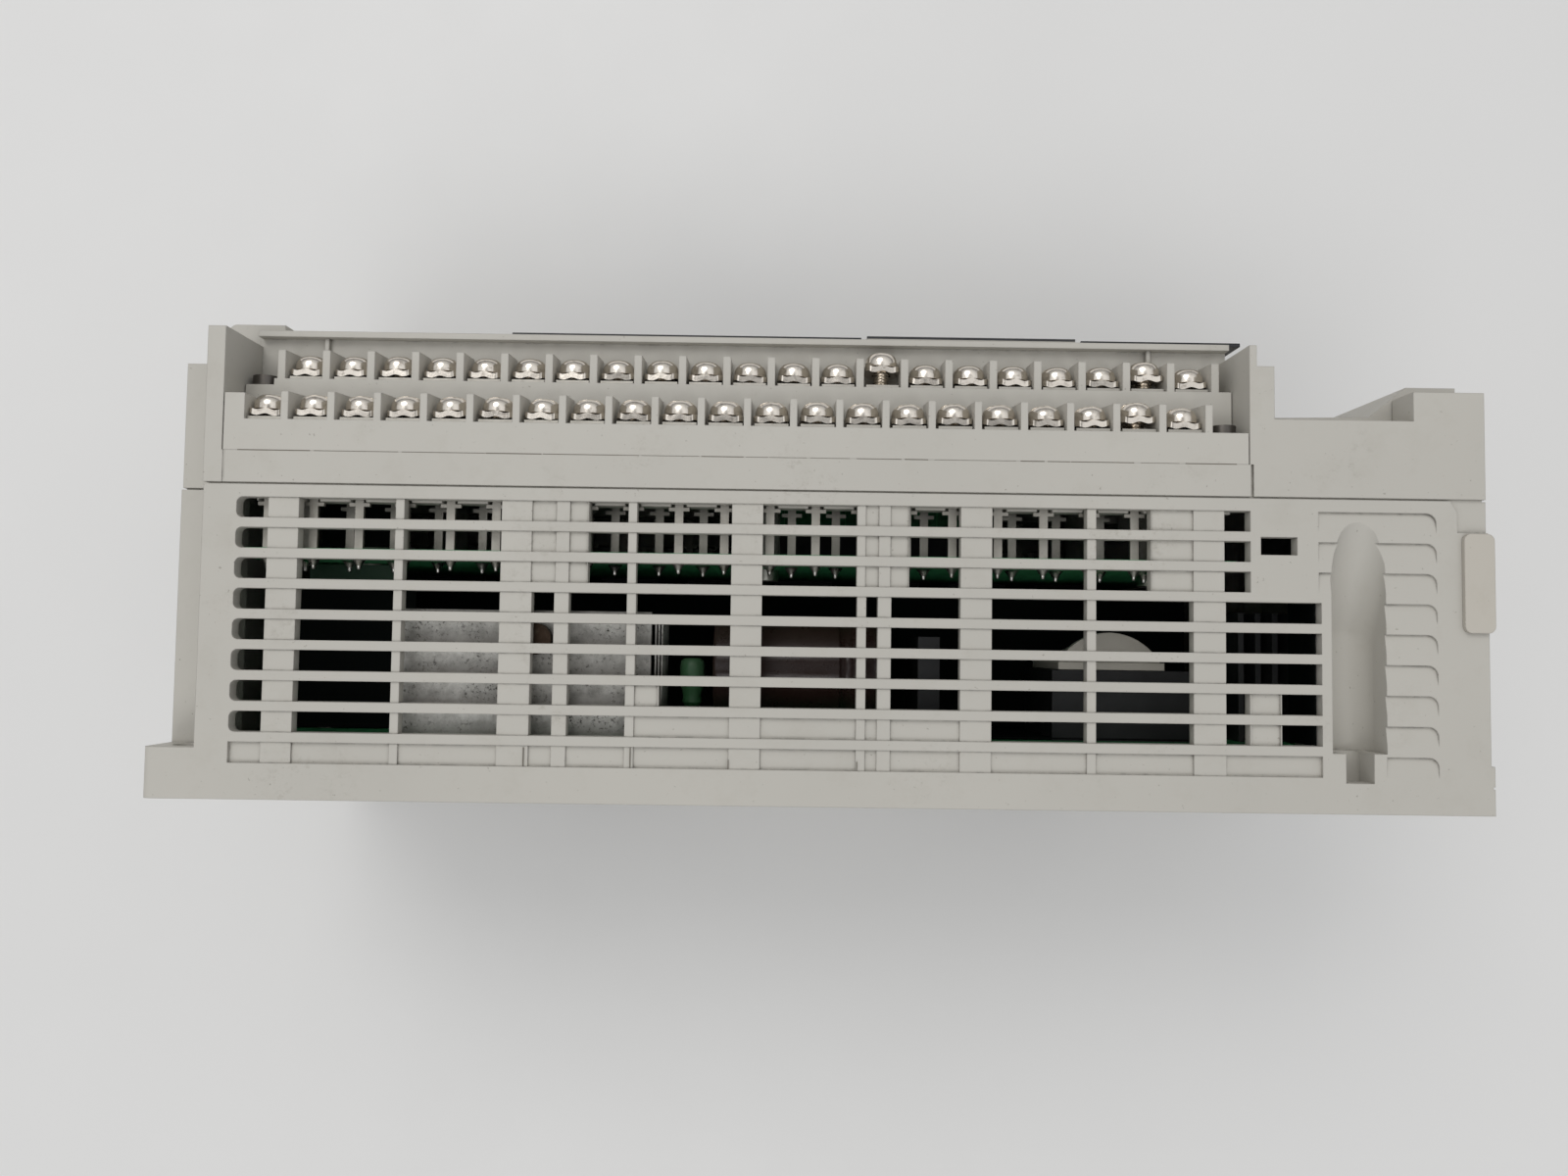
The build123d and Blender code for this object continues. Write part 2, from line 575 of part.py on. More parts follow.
def fuse_clips():
    clips = []
    for x in (64.0, 80.0):
        clip = block((x - 2.5, x + 2.5), (POWER_FRONT - 7.0, POWER_FRONT), (-28.3, -21.7))
        clips.append(clip - rod_x(-14.5, -25.0, 2.65, x - 3, x + 3)
                     - block((x - 3, x + 3), (-18.0, -15.4), (-26.6, -23.4)))
    return clips


def line_filter_choke():
    core = rod_y(35.0, -18.0, 10.0, POWER_FRONT - 9.0, POWER_FRONT)
    return core - rod_y(35.0, -18.0, 4.2, POWER_FRONT - 10.0, POWER_FRONT + 1)


# ------------------------------------------------------- left end and covers

def left_cover(z0, z1):
    """Hollow cover over part of the left end, with a ramp up to its raised end."""
    outer = prism_z([(-75.2, LEFT_FACE - 0.05), (-75.2, -66.2), (-93.6, -66.6), (-99.9, -71.8),
                     (-108.4, -71.8), (-108.4, LEFT_FACE - 0.05)], z0, z1)
    inner = prism_z([(-76.7, -60.0), (-76.7, -65.1), (-94.0, -65.3), (-100.4, -70.4),
                     (-106.9, -70.4), (-106.9, -60.0)], z0 + 1.5, z1 - 1.5)
    return outer - inner


PORT_X = -83.0
PORT_Z = -26.0
SWITCH_X = -84.0
SWITCH_Z = -7.0
FLAP_HINGE_Z = -15.6
FLAP_HINGE_Y = -68.0


def battery_cover():
    cover = left_cover(5.2, 37.8)
    for x in (-84.0, -97.0):
        cover += block((x - 3, x + 3), (-66.0, LEFT_FACE - 0.1), (6.5, 9.2))
        cover += block((x - 3, x + 3), (-65.0, LEFT_SKIN + 0.2), (7.7, 9.2))
    return cover


def option_cover():
    cover = left_cover(-37.8, 4.8)
    cover -= rod_y(PORT_X, PORT_Z, 6.6, -60.0, -75.0)
    cover -= block((SWITCH_X - 1.6, SWITCH_X + 1.6), (-60.0, -75.0),
                   (SWITCH_Z - 3.6, SWITCH_Z + 3.6))
    for x in (PORT_X - 7.2, PORT_X + 5.6):
        lug = block((x, x + 1.6), (-65.3, -69.0), (FLAP_HINGE_Z - 1.1, FLAP_HINGE_Z + 1.1))
        cover += lug - rod_x(FLAP_HINGE_Y, FLAP_HINGE_Z, 0.75, x - 1, x + 3)
    return cover


def port_socket():
    """Round eight-pole socket: a body with a deep cup and its pins."""
    body = block((PORT_X - 7, PORT_X + 7), (-59.0, -50.0), (PORT_Z - 7, PORT_Z + 7))
    body += rod_y(PORT_X, PORT_Z, 6.0, -65.9, -58.0)
    body -= rod_y(PORT_X, PORT_Z, 4.6, -67.0, -57.0)
    pins = [rod_y(PORT_X + dx, PORT_Z + dz, 0.4, -61.5, -56.0)
            for dx, dz in ((-2.6, 2.0), (0, 2.9), (2.6, 2.0), (-1.0, 0), (1.0, 0), (-2.6, -2.0),
                           (0, -2.9), (2.6, -2.0))]
    return body + pins


def port_cover():
    """Flap over the socket, hinged on its top edge."""
    flap = block((PORT_X - 7.2, PORT_X + 7.2), (-67.3, -68.5), (PORT_Z - 7.6, -17.35))
    knuckle = (PORT_X - 5.5, PORT_X + 5.5)
    flap += block(knuckle, (-67.45, -68.5), (-17.45, FLAP_HINGE_Z))
    flap += rod_x(FLAP_HINGE_Y, FLAP_HINGE_Z, 0.55, *knuckle)
    flap += rod_x(FLAP_HINGE_Y, FLAP_HINGE_Z, 0.68, PORT_X - 7.0, PORT_X + 7.0)
    return flap


def switch_body():
    return block((SWITCH_X - 3, SWITCH_X + 3), (-62.0, -56.0), (SWITCH_Z - 5, SWITCH_Z + 5))


def run_stop_switch():
    knob = block((SWITCH_X - 1.2, SWITCH_X + 1.2), (-68.3, -63.4), (SWITCH_Z + 0.5, SWITCH_Z + 3.3))
    return knob + block((SWITCH_X - 1.2, SWITCH_X + 1.2), (-64.0, -62.2),
                        (SWITCH_Z - 0.5, SWITCH_Z + 3.3))


def expansion_cover():
    shell = block((95.8, 105.9), (-76.1, -82.0), (-29.2, 29.2))
    shell = fillet(shell.edges().filter_by(Axis.Z).group_by(Axis.Y)[0].sort_by(Axis.X)[-1], 1.5)
    shell -= block((97.2, 104.6), (-70.0, -80.6), (-27.9, 27.9))
    return shell


def expansion_connector():
    body = block((97.8, 104.2), (-68.0, -79.6), (-21.8, 21.8))
    return body - block((98.9, 103.1), (-72.5, -81.0), (-20.0, 20.0))


def battery_holder():
    cradle = block((-100.5, -83.5), (-47.0, -43.5), (8.0, 32.0))
    return cradle - rod_z(-92.0, -52.0, 7.15, 0.0, 40.0)


# ----------------------------------------------------------------- front trim

def trim_panel(x0, x1, windows):
    panel = block((x0, x1), (PANEL_Y - 0.05, PANEL_Y - 0.55), (-PANEL_Z, PANEL_Z))
    for x, z in windows:
        panel -= block(x, (PANEL_Y + 1, PANEL_Y - 2), z)
    return panel


def display_cover():
    """Removable cover over the display bay, raised in the middle."""
    half = [(PANEL_Y - 0.05, PANEL_Z), (PANEL_Y - 0.55, PANEL_Z), (-82.2, 24.0), (-DEPTH, 9.0)]
    other = [(y, -z) for y, z in reversed(half)]
    return prism_x(half + other, -44.8, -7.9)


def window_lens(x, z):
    return block((x[0] + 0.1, x[1] - 0.1), (PANEL_Y - 0.05, PANEL_Y - 0.45),
                 (z[0] + 0.1, z[1] - 0.1))


def indicator_lamps():
    lamps = []
    for row in range(2):
        for i in range(16):
            x = 12.5 + 2.2 * i
            lamps.append(block((x - 0.8, x + 0.8), (CPU_FRONT, CPU_FRONT - 1.0),
                               (18.2 + 3.0 * row, 19.4 + 3.0 * row)))
            lamps.append(block((x - 0.8, x + 0.8), (CPU_FRONT, CPU_FRONT - 1.0),
                               (-22.4 + 3.0 * row, -21.2 + 3.0 * row)))
    for i in range(4):
        z = -9.0 + 6.0 * i
        lamps.append(block((-54.7, -52.3), (CPU_FRONT, CPU_FRONT - 1.0), (z - 0.7, z + 0.7)))
    return lamps


# --------------------------------------------------------------------- hooks

def adapter_hook():
    """Sliding lock for a neighbouring adapter: a rounded pad on a T-shaped foot."""
    pad = block((-110.0, -105.0), (-46.0, -29.7), (HALF_H + 0.05, 45.85))
    pad = fillet(pad.edges().filter_by(Axis.Z), 1.2)
    lip = block((-110.0, -109.45), (-44.0, -31.7), (41.5, HALF_H + 0.2))
    stem = block((-107.4, -106.0), (-36.0, -31.8), (42.7, HALF_H + 0.2))
    foot = block((-108.2, -105.0), (-36.0, -31.8), (41.2, 42.8))
    return pad + lip + stem + foot


def din_hook(x):
    """Sliding rail hook, shown locked on the rail."""
    top = -RAIL_HALF + RAIL_LIP
    hook = block((x - 8.0, x + 8.0), (-4.3, -2.8), (-40.0, -20.0))
    hook += block((x - 6.0, x + 6.0), (-3.2, -0.6), (-HALF_H, -20.0))
    nose = prism_x([(-4.2, top), (-4.2, -20.5), (-0.6, -20.5), (-0.6, top - 1.6)], x - 6.0, x + 6.0)
    hook += nose
    return hook - block((x - 3.0, x + 3.0), (-5.0, 1.0), (-43.0, -41.0))


# -------------------------------------------------------------------- output

def save(name, pieces):
    shape = Compound(children=list(pieces)) if isinstance(pieces, list) else pieces
    export_step(shape, "parts/" + name + ".step")


def main():
    save("rear_case", rear_case())
    save("front_case", front_case())

    block_top = terminal_block()
    save("top_terminal_block", block_top)
    save("bottom_terminal_block", flipped(block_top))
    groups = top_terminals()
    solder = groups.pop("solder_joints")
    for name, pieces in groups.items():
        save("top_" + name, pieces)
        save("bottom_" + name, [flipped(piece) for piece in pieces])
    save("solder_joints", on_both_sides(solder))
    fixings = [fixing_screw(*FIXING_RIGHT, -69.5), fixing_screw(*FIXING_LEFT, LOWER_SEAT)]
    save("top_block_screws", fixings)
    save("bottom_block_screws", [flipped(piece) for piece in fixings])
    save("bottom_terminal_cover", bottom_terminal_cover())

    save("io_board", io_board())
    save("cpu_board", cpu_board())
    save("power_board", power_board())
    save("io_board_screws", [board_screw(x, z, IO_BACK, -8.0) for x, z in IO_POSTS])
    save("cpu_board_screws", [board_screw(x, z, CPU_BACK, -5.0) for x, z in CPU_POSTS])
    save("power_board_screws", [board_screw(x, z, POWER_FRONT, 6.0) for x, z in POWER_POSTS])
    save("link_board", block((-30.0, 10.0), (CPU_BACK, IO_FRONT), (-0.8, 0.8)))
    save("header_sockets", header_sockets())
    save("heat_sink", heat_sink())
    save("heat_sink_screw", heat_sink_screw())
    save("power_transistors", power_transistors())
    save("main_capacitor", main_capacitor())
    save("filter_capacitor", block((-21.0, -17.2), (-28.0, POWER_FRONT), (15.0, 33.0)))
    save("transformer_core", block((-64.5, -40.5), (-22.6, POWER_FRONT), (10.0, 33.0)))
    save("transformer_bobbin", transformer_bobbin())
    save("sleeved_resistor", rod_y(21.8, 33.0, 2.2, -23.8, -15.3)
         + rod_y(21.8, 33.0, 0.4, -16.0, POWER_FRONT))
    save("finned_heat_sink", finned_heat_sink())
    save("output_relays", output_relays())
    save("fuse", rod_x(-14.5, -25.0, 2.55, 61.0, 83.0))
    save("fuse_clips", fuse_clips())
    save("line_filter_choke", line_filter_choke())

    save("battery", rod_z(-92.0, -52.0, 7.0, 8.0, 32.0))
    save("battery_holder", battery_holder())
    save("battery_cover", battery_cover())
    save("option_cover", option_cover())
    save("port_socket", port_socket())
    save("port_cover", port_cover())
    save("switch_body", switch_body())
    save("run_stop_switch", run_stop_switch())
    save("expansion_connector", expansion_connector())
    save("expansion_cover", expansion_cover())

    save("name_panel", trim_panel(-6.9, 54.8, INDICATOR_WINDOWS[:2]))
    save("status_panel", trim_panel(-74.0, -45.8, INDICATOR_WINDOWS[2:]))
    save("display_cover", display_cover())
    save("window_lenses", [window_lens(x, z) for x, z in INDICATOR_WINDOWS])
    save("indicator_lamps", indicator_lamps())

    hook = adapter_hook()
    save("top_adapter_hook", hook)
    save("bottom_adapter_hook", flipped(hook))
    save("left_din_hook", din_hook(HOOK_X[0]))
    save("right_din_hook", din_hook(HOOK_X[1]))


main()
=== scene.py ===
import json
import math
import random

import bmesh
import bpy
from mathutils import Matrix, Vector


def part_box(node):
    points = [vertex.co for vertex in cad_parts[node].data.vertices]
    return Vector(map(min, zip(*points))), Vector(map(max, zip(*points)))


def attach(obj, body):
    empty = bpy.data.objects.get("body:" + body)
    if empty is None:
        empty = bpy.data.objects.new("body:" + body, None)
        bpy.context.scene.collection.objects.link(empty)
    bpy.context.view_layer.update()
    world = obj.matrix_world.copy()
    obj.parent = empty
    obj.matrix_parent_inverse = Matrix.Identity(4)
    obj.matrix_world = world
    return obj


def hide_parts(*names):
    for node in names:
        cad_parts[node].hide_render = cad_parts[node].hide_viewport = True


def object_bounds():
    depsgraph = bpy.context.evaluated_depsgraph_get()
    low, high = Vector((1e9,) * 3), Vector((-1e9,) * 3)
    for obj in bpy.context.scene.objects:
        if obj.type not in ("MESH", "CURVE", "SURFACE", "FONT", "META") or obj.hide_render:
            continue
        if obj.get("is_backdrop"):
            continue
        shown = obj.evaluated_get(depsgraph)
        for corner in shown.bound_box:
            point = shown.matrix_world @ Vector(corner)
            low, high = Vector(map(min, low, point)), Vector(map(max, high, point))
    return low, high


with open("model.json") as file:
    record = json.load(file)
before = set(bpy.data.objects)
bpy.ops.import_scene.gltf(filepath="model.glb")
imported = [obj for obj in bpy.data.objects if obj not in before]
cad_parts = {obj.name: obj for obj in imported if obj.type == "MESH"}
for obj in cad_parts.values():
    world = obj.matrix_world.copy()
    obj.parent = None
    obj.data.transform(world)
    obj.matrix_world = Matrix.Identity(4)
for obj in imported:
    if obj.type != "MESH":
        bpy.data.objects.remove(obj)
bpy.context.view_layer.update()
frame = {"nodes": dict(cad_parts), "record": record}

MM = 0.001
ROOT = "housing"
nodes = frame["nodes"]
rng = random.Random(7)


# ------------------------------------------------------------------ materials

class Graph:
    """A material's node tree, with short calls for adding and joining nodes."""

    def __init__(self, name):
        self.material = bpy.data.materials.new(name)
        self.material.use_nodes = True
        self.tree = self.material.node_tree
        self.tree.nodes.clear()
        self.out = self.add("ShaderNodeOutputMaterial")
        self.shader = self.add("ShaderNodeBsdfPrincipled")
        self.join(self.shader, "BSDF", self.out, "Surface")
        self.place = self.add("ShaderNodeTexCoord")

    def add(self, kind, values=None, **settings):
        node = self.tree.nodes.new(kind)
        for key, value in settings.items():
            setattr(node, key, value)
        for key, value in (values or {}).items():
            node.inputs[key].default_value = value
        return node

    def join(self, source, output, target, socket):
        self.tree.links.new(source.outputs[output], target.inputs[socket])

    def noise(self, scale, detail=4.0, rough=0.55):
        """Noise over the piece; scale is features per metre."""
        node = self.add("ShaderNodeTexNoise",
                        {"Scale": scale, "Detail": detail, "Roughness": rough})
        self.join(self.place, "Object", node, "Vector")
        return node

    def ramp(self, source, output, low, high, from_value=0.0, to_value=1.0):
        node = self.add("ShaderNodeMapRange", {"From Min": low, "From Max": high,
                                               "To Min": from_value, "To Max": to_value})
        self.join(source, output, node, "Value")
        return node

    def multiply(self, first, second):
        node = self.add("ShaderNodeMath", operation="MULTIPLY")
        self.join(first, 0, node, 0)
        self.join(second, 0, node, 1)
        return node

    def mix(self, factor, a, b):
        """Mixes two colours, or nodes that give a colour, by a factor node."""
        node = self.add("ShaderNodeMix", data_type="RGBA")
        self.join(factor, 0, node, 0)
        for socket, colour in ((6, a), (7, b)):
            if isinstance(colour, tuple):
                node.inputs[socket].default_value = (*colour, 1.0)
            else:
                self.join(colour, 2 if colour.bl_idname == "ShaderNodeMix" else 0, node, socket)
        return node

    def colour(self, node):
        self.join(node, 2, self.shader, "Base Color")

    def bump(self, source, strength, distance, edge=0.0):
        """Fine relief; edge is the radius that sharp edges are rounded to."""
        node = self.add("ShaderNodeBump", {"Strength": strength, "Distance": distance})
        self.join(source, 0, node, "Height")
        if edge:
            bevel = self.add("ShaderNodeBevel", {"Radius": edge}, samples=4)
            self.join(bevel, 0, node, "Normal")
        self.join(node, 0, self.shader, "Normal")

    def crevice(self, distance):
        """1 in the open, falling towards 0 in narrow corners."""
        return self.add("ShaderNodeAmbientOcclusion", {"Distance": distance}, samples=4,
                        only_local=True)


def shade(colour, factor):
    return tuple(min(1.0, c * factor) for c in colour)


def tint(colour, *factors):
    """The colour with its red, green and blue each taken down by a factor."""
    return tuple(c * f for c, f in zip(colour, factors))


def moulded(name, colour, rough=0.5, grime_and_shade=0.5, grain=0.12, specks=0.5, edge=0.00025):
    """Injection-moulded plastic that has been used: mottled, with dust and painted shade in its
    corners and creases.
    """
    g = Graph(name)
    cloud = g.ramp(g.noise(16, 5), 0, 0.3, 0.7)
    tone = g.mix(cloud, shade(colour, 0.955), shade(colour, 1.03))
    blotch = g.ramp(g.noise(150, 6, 0.7), 0, 0.52, 0.8, 0.0, 0.3)
    tone = g.mix(blotch, tone, tint(colour, 0.80, 0.775, 0.73))
    handled = g.ramp(g.noise(38, 4, 0.6), 0, 0.56, 0.68, 0.0, grime_and_shade)
    smudge = g.ramp(g.noise(700, 6, 0.8), 0, 0.52, 0.66)
    tone = g.mix(g.multiply(handled, smudge), tone, tint(colour, 0.55, 0.52, 0.47))
    # Ambient occlusion darkens the corners: painted shade, broken into patches together with
    # dust.
    corner = g.ramp(g.crevice(0.0022), "AO", 0.58, 0.15, 0.0, grime_and_shade)
    patchy = g.ramp(g.noise(420, 4, 0.7), 0, 0.3, 0.65, 0.45, 1.0)
    dirt_and_shade_colour = tint(colour, 0.40, 0.37, 0.33)
    tone = g.mix(g.multiply(corner, patchy), tone, dirt_and_shade_colour)
    dots = g.ramp(g.noise(1500, 2, 0.5), 0, 0.735, 0.76, 0.0, specks)
    tone = g.mix(dots, tone, dirt_and_shade_colour)
    # The same in fine creases: thin lines of painted shade mixed with dirt.
    line = g.ramp(g.crevice(0.0006), "AO", 0.8, 0.35, 0.0, min(1.0, grime_and_shade * 1.5))
    broken = g.ramp(g.noise(260, 5, 0.75), 0, 0.46, 0.6)
    tone = g.mix(g.multiply(line, broken), tone, shade(dirt_and_shade_colour, 0.35))
    g.colour(tone)
    gloss = g.ramp(g.noise(60, 4), 0, 0.3, 0.7, rough - 0.06, rough + 0.08)
    g.join(gloss, 0, g.shader, "Roughness")
    g.shader.inputs["Specular IOR Level"].default_value = 0.4
    g.bump(g.noise(5200, 2, 0.5), grain, 0.00006, edge)
    return g.material


def metal(name, colour, rough_low, rough_high, stain=(0.2, 0.17, 0.13), stained=0.25, edge=0.0):
    """Plated metal with uneven polish and a little tarnish."""
    g = Graph(name)
    g.shader.inputs["Metallic"].default_value = 1.0
    spots = g.ramp(g.noise(900, 6, 0.7), 0, 0.52, 0.75, 0.0, stained)
    g.colour(g.mix(spots, colour, stain))
    polish = g.ramp(g.noise(500, 5, 0.6), 0, 0.3, 0.7, rough_low, rough_high)
    g.join(polish, 0, g.shader, "Roughness")
    g.bump(g.noise(1600, 4, 0.6), 0.12, 0.00008, edge)
    return g.material


# Period and phase of the painted shadow bands, one band for each grille row.
BANDS_PER_METRE = 200.0
BAND_OFFSET = 29.86


def dusty_sheet(name):
    """Bare sheet metal dulled by dust, with streaks and grains, and bands of painted shadow from
    the grille bars.
    """
    g = Graph(name)
    haze = g.ramp(g.noise(260, 7, 0.75), 0, 0.3, 0.7)
    tone = g.mix(haze, (0.35, 0.34, 0.315), (0.80, 0.785, 0.745))
    stretched = g.add("ShaderNodeMapping", {"Scale": (1.0, 0.12, 1.0)})
    g.join(g.place, "Object", stretched, "Vector")
    streak = g.add("ShaderNodeTexNoise", {"Scale": 900.0, "Detail": 4.0, "Roughness": 0.6})
    g.join(stretched, 0, streak, "Vector")
    tone = g.mix(g.ramp(streak, 0, 0.55, 0.75, 0.0, 0.45), tone, (0.70, 0.69, 0.66))
    grit = g.ramp(g.noise(1500, 6, 0.8), 0, 0.54, 0.6, 0.0, 0.95)
    patch = g.ramp(g.noise(170, 4, 0.65), 0, 0.42, 0.58)
    tone = g.mix(g.multiply(grit, patch), tone, (0.045, 0.038, 0.03))
    # Darker towards the +Y edge of each grille row: painted shadow of the bars.
    split = g.add("ShaderNodeSeparateXYZ")
    g.join(g.place, "Object", split, "Vector")
    rows = g.add("ShaderNodeMath", {1: BANDS_PER_METRE}, operation="MULTIPLY")
    g.join(split, "Y", rows, 0)
    shift = g.add("ShaderNodeMath", {1: BAND_OFFSET}, operation="ADD")
    g.join(rows, 0, shift, 0)
    part = g.add("ShaderNodeMath", operation="FRACT")
    g.join(shift, 0, part, 0)
    bar_shadow = g.ramp(part, 0, 0.28, 0.64, 0.0, 0.75)
    tone = g.mix(bar_shadow, tone, (0.14, 0.13, 0.115))
    g.colour(tone)
    shine = g.ramp(g.noise(300, 5, 0.6), 0, 0.35, 0.65, 0.1, 0.5)
    g.join(shine, 0, g.shader, "Metallic")
    dull = g.ramp(g.noise(700, 4), 0, 0.3, 0.7, 0.35, 0.6)
    g.join(dull, 0, g.shader, "Roughness")
    g.bump(g.noise(900, 5, 0.7), 0.3, 0.00012)
    return g.material


def circuit_board(name):
    """Green solder resist over fine copper tracks."""
    g = Graph(name)
    tracks = g.add("ShaderNodeTexBrick", {"Scale": 260.0, "Mortar Size": 0.035,
                                          "Brick Width": 1.6, "Row Height": 0.3,
                                          "Color1": (0.045, 0.280, 0.115, 1),
                                          "Color2": (0.060, 0.340, 0.140, 1),
                                          "Mortar": (0.090, 0.450, 0.190, 1)})
    turned = g.add("ShaderNodeMapping", {"Rotation": (math.pi / 2, 0, 0)})
    g.join(g.place, "Object", turned, "Vector")
    g.join(turned, 0, tracks, "Vector")
    dust = g.ramp(g.noise(240, 5, 0.7), 0, 0.5, 0.8, 0.0, 0.25)
    g.colour(g.mix(dust, tracks, (0.09, 0.12, 0.07)))
    g.join(g.ramp(g.noise(90, 3), 0, 0.3, 0.7, 0.28, 0.5), 0, g.shader, "Roughness")
    g.bump(tracks, 0.2, 0.00004)
    return g.material


def glossy(name, colour, rough=0.22, wear=0.2):
    """Smooth sleeve, film or lacquer with faint smears."""
    g = Graph(name)
    smear = g.ramp(g.noise(70, 6, 0.7), 0, 0.4, 0.75, 0.0, wear)
    g.colour(g.mix(smear, colour, (0.22, 0.21, 0.19)))
    g.join(g.ramp(g.noise(200, 5, 0.7), 0, 0.3, 0.7, rough, rough + 0.2), 0,
           g.shader, "Roughness")
    g.bump(g.noise(700, 3), 0.06, 0.00008, 0.0002)
    return g.material


def clear(name, colour, rough=0.08):
    g = Graph(name)
    haze = g.ramp(g.noise(90, 5, 0.7), 0, 0.4, 0.7)
    g.colour(g.mix(haze, colour, shade(colour, 0.8)))
    g.shader.inputs["Transmission Weight"].default_value = 0.85
    g.shader.inputs["IOR"].default_value = 1.45
    g.join(g.ramp(g.noise(300, 4), 0, 0.3, 0.7, rough, rough + 0.12), 0, g.shader, "Roughness")
    g.bump(g.noise(400, 2), 0.03, 0.00005)
    return g.material


def table_top(name):
    """Pale, smooth table."""
    g = Graph(name)
    cloud = g.ramp(g.noise(3, 5, 0.6), 0, 0.3, 0.7)
    g.colour(g.mix(cloud, (0.70, 0.695, 0.685), (0.74, 0.735, 0.725)))
    g.join(g.ramp(g.noise(40, 4), 0, 0.3, 0.7, 0.5, 0.62), 0, g.shader, "Roughness")
    g.bump(g.noise(900, 3), 0.03, 0.0001)
    return g.material


CASE = (0.476, 0.458, 0.415)
MATERIALS = {
    "case_plastic": moulded("case_plastic", CASE),
    "cover_plastic": moulded("cover_plastic", shade(CASE, 1.03), 0.45),
    "cream_plastic": moulded("cream_plastic", (0.49, 0.46, 0.405), 0.38, 0.3, 0.04, 0.2),
    "dark_plastic": moulded("dark_plastic", (0.028, 0.028, 0.03), 0.45, 0.3, 0.15, 0.0),
    "panel_film": glossy("panel_film", (0.018, 0.019, 0.022), 0.28, 0.08),
    "clear_plastic": clear("clear_plastic", (0.55, 0.56, 0.56)),
    "nickel_steel": metal("nickel_steel", (0.80, 0.74, 0.66), 0.1, 0.24, (0.14, 0.10, 0.07), 0.6),
    "tinned_metal": metal("tinned_metal", (0.47, 0.45, 0.405), 0.42, 0.6),
    "black_steel": metal("black_steel", (0.13, 0.12, 0.11), 0.35, 0.5, edge=0.0002),
    "zinc_steel": metal("zinc_steel", (0.62, 0.60, 0.55), 0.25, 0.4, edge=0.0002),
    "green_board": circuit_board("green_board"),
    "aluminium_sheet": dusty_sheet("aluminium_sheet"),
    "black_metal": glossy("black_metal", (0.012, 0.013, 0.014), 0.5, 0.12),
    "brown_sleeve": glossy("brown_sleeve", (0.034, 0.017, 0.014), 0.22, 0.1),
    "green_sleeve": glossy("green_sleeve", (0.035, 0.13, 0.05), 0.3, 0.3),
    "fuse_glass": clear("fuse_glass", (0.8, 0.84, 0.83)),
    "battery_wrap": glossy("battery_wrap", (0.10, 0.12, 0.16), 0.3, 0.1),
    "lamp_plastic": glossy("lamp_plastic", (0.34, 0.03, 0.02), 0.25, 0.05),
}
# Terminal blocks: a copy of the case plastic painted a little lighter to lift the shade in their
# recesses, with weaker painted corner shade.
LIGHTENED_BLOCK = moulded("block_plastic_lightened", shade(CASE, 1.02), 0.5, 0.35)
FLOOR = table_top("table_top")
BRIGHT_SOLDER = metal("bright_solder", (0.66, 0.65, 0.62), 0.2, 0.4, stained=0.3)
APRON = glossy("apron_film", (0.010, 0.042, 0.020), 0.5, 0.04)
CORE = glossy("core_lacquer", (0.006, 0.006, 0.007), 0.5, 0.03)
# The heat-sink screw: dark brown metal that gives almost no reflection.
DARK_BROWN_SCREW = metal("dark_brown_screw", (0.05, 0.034, 0.024), 0.4, 0.6)
BLACK_SHEET = moulded("black_sheet", (0.004, 0.0055, 0.005), 0.7, 0.1, 0.1, 0.0)
BLACK_SHEET.node_tree.nodes["Principled BSDF"].inputs["Specular IOR Level"].default_value = 0.05
LABEL = moulded("label_film", (0.62, 0.62, 0.61), 0.3, 0.1, 0.02, 0.1)
PRINT = moulded("panel_print", (0.42, 0.43, 0.44), 0.4, 0.0, 0.02, 0.0)
ACCENT = moulded("accent_print", (0.03, 0.13, 0.30), 0.4, 0.0, 0.02, 0.0)
DIRT = moulded("thread_dirt", (0.16, 0.145, 0.12), 0.8, 0.3, 0.1, 0.2, 0.0)
CHIP = moulded("chip_body", (0.018, 0.018, 0.02), 0.45, 0.2, 0.2, 0.0)


def paint_cad_nodes():
    """Gives every CAD node the material of its slot, and four of them their own."""
    for part in frame["record"]["subparts"]:
        obj = nodes[part["node"]]
        obj.data.materials.clear()
        obj.data.materials.append(MATERIALS[part["material_slot"]])
    nodes["heat_sink_screw"].data.materials[0] = DARK_BROWN_SCREW
    nodes["transformer_core"].data.materials[0] = CORE
    # The terminal blocks take the lightened copy of the case plastic.
    for node in ("top_terminal_block", "bottom_terminal_block"):
        nodes[node].data.materials[0] = LIGHTENED_BLOCK


# -------------------------------------------------------------- mesh helpers

def new_mesh(name, verts, faces):
    mesh = bpy.data.meshes.new(name)
    mesh.from_pydata([tuple(v) for v in verts], [], faces)
    mesh.validate()
    mesh.update()
    return mesh


def tidy_normals(mesh):
    bm = bmesh.new()
    bm.from_mesh(mesh)
    bmesh.ops.remove_doubles(bm, verts=bm.verts, dist=1e-7)
    bmesh.ops.recalc_face_normals(bm, faces=bm.faces)
    bm.to_mesh(mesh)
    bm.free()


